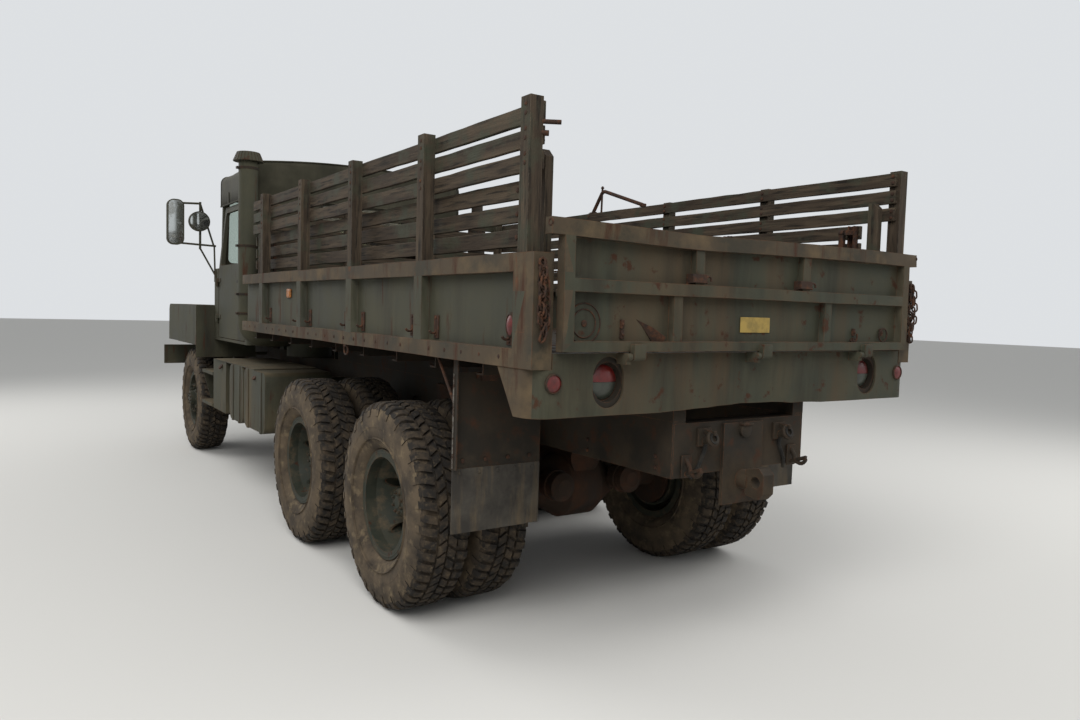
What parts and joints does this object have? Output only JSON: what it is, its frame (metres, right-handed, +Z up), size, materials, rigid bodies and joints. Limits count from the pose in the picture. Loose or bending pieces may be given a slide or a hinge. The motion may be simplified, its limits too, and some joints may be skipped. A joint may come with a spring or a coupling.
{
  "type": "six-wheel-drive military cargo truck",
  "caption": "Open drop-side cargo truck with a canvas-topped cab, slatted side racks with folding troop seats, a drop tailgate, twin rear wheels and a tilting hood.",
  "frame": {"origin": "on the ground below the middle of the truck's outline", "axes": "+X forward, +Y to the driver's side, +Z up"},
  "size_m": [7.798, 2.96, 2.8398],
  "materials": {
    "axle_casting": "rough, rusty",
    "canvas": "heavy waxed canvas",
    "chain_steel": "rusty",
    "clear_glass": "polished",
    "flap_rubber": "matt, dusty",
    "frame_paint": "matt, dusty with rust",
    "lamp_lens": "moulded lens",
    "olive_paint": "satin, dusty and chipped",
    "rack_wood": "weathered boards",
    "rim_paint": "satin, dusty",
    "seat_cloth": "coated cloth",
    "tread_rubber": "matt, dusty"
  },
  "bodies": {
    "chassis": {"bed_floor": "frame_paint", "bed_frame": "frame_paint", "bed_sides": "olive_paint", "bent_bar": "chain_steel", "bogie_axles": "axle_casting", "cab_body": "olive_paint", "cab_seats": "seat_cloth", "canvas_top": "canvas", "chains": "chain_steel", "crossmembers": "frame_paint", "dashboard": "olive_paint", "driveline": "axle_casting", "engine": "axle_casting", "exhaust_stack": "frame_paint", "fenders": "olive_paint", "frame_rails": "frame_paint", "front_axle": "axle_casting", "front_bumper": "olive_paint", "headboard": "olive_paint", "intake_stack": "olive_paint", "lamps": "lamp_lens", "leaf_springs": "frame_paint", "mirrors": "olive_paint", "mud_flaps": "flap_rubber", "rack_slats": "rack_wood", "rack_stakes": "rack_wood", "radiator": "frame_paint", "rear_sill": "olive_paint", "side_boxes": "olive_paint", "spare_carrier": "olive_paint", "spare_tyre": "tread_rubber", "tanks": "olive_paint", "tow_hook": "axle_casting", "trunnion": "axle_casting", "windshield_frame": "olive_paint", "windshield_glass": "clear_glass"},
    "steer_left": {"knuckle_left": "axle_casting"},
    "steer_right": {"knuckle_right": "axle_casting"},
    "tie_rod": {"tie_rod": "axle_casting"},
    "wheel_front_left": {"tyre_front_left": "tread_rubber", "rim_front_left": "rim_paint"},
    "wheel_front_right": {"tyre_front_right": "tread_rubber", "rim_front_right": "rim_paint"},
    "wheel_middle_left": {"tyres_middle_left": "tread_rubber", "rims_middle_left": "rim_paint"},
    "wheel_middle_right": {"tyres_middle_right": "tread_rubber", "rims_middle_right": "rim_paint"},
    "wheel_rear_left": {"tyres_rear_left": "tread_rubber", "rims_rear_left": "rim_paint"},
    "wheel_rear_right": {"tyres_rear_right": "tread_rubber", "rims_rear_right": "rim_paint"},
    "door_left": {"door_left": "olive_paint"},
    "door_right": {"door_right": "olive_paint"},
    "hood": {"hood": "olive_paint"},
    "tailgate": {"tailgate": "olive_paint"},
    "seat_left": {"seat_left": "rack_wood"},
    "seat_right": {"seat_right": "rack_wood"},
    "legs_left": {"legs_left": "frame_paint"},
    "legs_right": {"legs_right": "frame_paint"}
  },
  "joints": [
    {"name": "steer_left", "type": "hinge", "parent": "chassis", "child": "steer_left", "pos_m": [2.834, 0.8, 0.537], "axis": [0, 0, 1], "range_deg": [-28, 28]},
    {"name": "steer_right", "type": "hinge", "parent": "chassis", "child": "steer_right", "pos_m": [2.834, -0.8, 0.537], "axis": [0, 0, 1], "range_deg": [-28, 28]},
    {"name": "tie_rod_pivot", "type": "hinge", "parent": "steer_left", "child": "tie_rod", "pos_m": [2.574, 0.8, 0.442], "axis": [0, 0, 1], "range_deg": [-28, 28]},
    {"name": "wheel_front_left_spin", "type": "hinge", "parent": "steer_left", "child": "wheel_front_left", "pos_m": [2.834, 0.99, 0.537], "axis": [0, 1, 0], "continuous": true},
    {"name": "wheel_front_right_spin", "type": "hinge", "parent": "steer_right", "child": "wheel_front_right", "pos_m": [2.834, -0.99, 0.537], "axis": [0, 1, 0], "continuous": true},
    {"name": "wheel_middle_left_spin", "type": "hinge", "parent": "chassis", "child": "wheel_middle_left", "pos_m": [-1.027, 0.92, 0.537], "axis": [0, 1, 0], "continuous": true},
    {"name": "wheel_middle_right_spin", "type": "hinge", "parent": "chassis", "child": "wheel_middle_right", "pos_m": [-1.027, -0.92, 0.537], "axis": [0, 1, 0], "continuous": true},
    {"name": "wheel_rear_left_spin", "type": "hinge", "parent": "chassis", "child": "wheel_rear_left", "pos_m": [-2.399, 0.92, 0.537], "axis": [0, 1, 0], "continuous": true},
    {"name": "wheel_rear_right_spin", "type": "hinge", "parent": "chassis", "child": "wheel_rear_right", "pos_m": [-2.399, -0.92, 0.537], "axis": [0, 1, 0], "continuous": true},
    {"name": "door_left_swing", "type": "hinge", "parent": "chassis", "child": "door_left", "pos_m": [2.031, 1.046, 1.575], "axis": [0, 0, -1], "range_deg": [0, 70]},
    {"name": "door_right_swing", "type": "hinge", "parent": "chassis", "child": "door_right", "pos_m": [2.031, -1.046, 1.575], "axis": [0, 0, 1], "range_deg": [0, 70]},
    {"name": "hood_tilt", "type": "hinge", "parent": "chassis", "child": "hood", "pos_m": [3.769, 0, 1.16], "axis": [0, 1, 0], "range_deg": [0, 75]},
    {"name": "tailgate_drop", "type": "hinge", "parent": "chassis", "child": "tailgate", "pos_m": [-3.849, 0, 1.392], "axis": [0, -1, 0], "range_deg": [0, 172]},
    {"name": "seat_left_fold", "type": "hinge", "parent": "chassis", "child": "seat_left", "pos_m": [-1.705, 1.075, 1.737], "axis": [1, 0, 0], "range_deg": [0, 90]},
    {"name": "seat_right_fold", "type": "hinge", "parent": "chassis", "child": "seat_right", "pos_m": [-1.705, -1.075, 1.737], "axis": [-1, 0, 0], "range_deg": [0, 90]},
    {"name": "legs_left_swing", "type": "hinge", "parent": "seat_left", "child": "legs_left", "pos_m": [-1.705, 1.038, 2.039], "axis": [1, 0, 0], "range_deg": [-90, 0]},
    {"name": "legs_right_swing", "type": "hinge", "parent": "seat_right", "child": "legs_right", "pos_m": [-1.705, -1.038, 2.039], "axis": [-1, 0, 0], "range_deg": [-90, 0]}
  ],
  "couplings": [
    {"joint": "steer_right", "follows": "steer_left", "ratio": 1},
    {"joint": "tie_rod_pivot", "follows": "steer_left", "ratio": -1},
    {"joint": "legs_left_swing", "follows": "seat_left_fold", "ratio": -1},
    {"joint": "legs_right_swing", "follows": "seat_right_fold", "ratio": -1}
  ]
}
